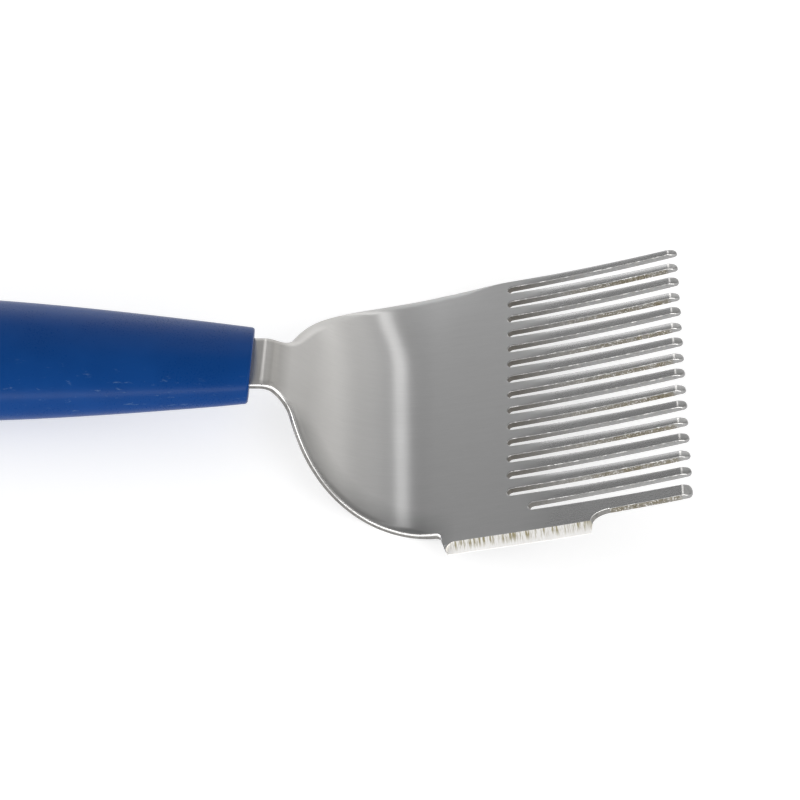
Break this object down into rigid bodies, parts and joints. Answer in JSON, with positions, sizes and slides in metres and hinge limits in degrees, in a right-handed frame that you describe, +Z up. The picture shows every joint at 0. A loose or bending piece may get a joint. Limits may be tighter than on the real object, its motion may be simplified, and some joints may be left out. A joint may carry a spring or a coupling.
{
  "type": "hive tool",
  "caption": "Uncapping fork for honeycomb: a cranked stainless plate with long tines and a ground side scraper, fixed in a rounded plastic handle with a hanging hole.",
  "frame": {"origin": "on the surface the tool lies on, under the centre of its bounding box", "axes": "+X along the tool from the handle's butt to the tine tips, +Y across the fork away from the scraper edge, +Z up, out of the hollow face"},
  "size_m": [0.2218, 0.0826, 0.0238],
  "materials": {
    "stainless_steel": "satin, brushed along the blade",
    "blue_plastic": "satin moulded"
  },
  "bodies": {
    "root": {"fork_blade": "stainless_steel", "handle": "blue_plastic"}
  },
  "joints": []
}
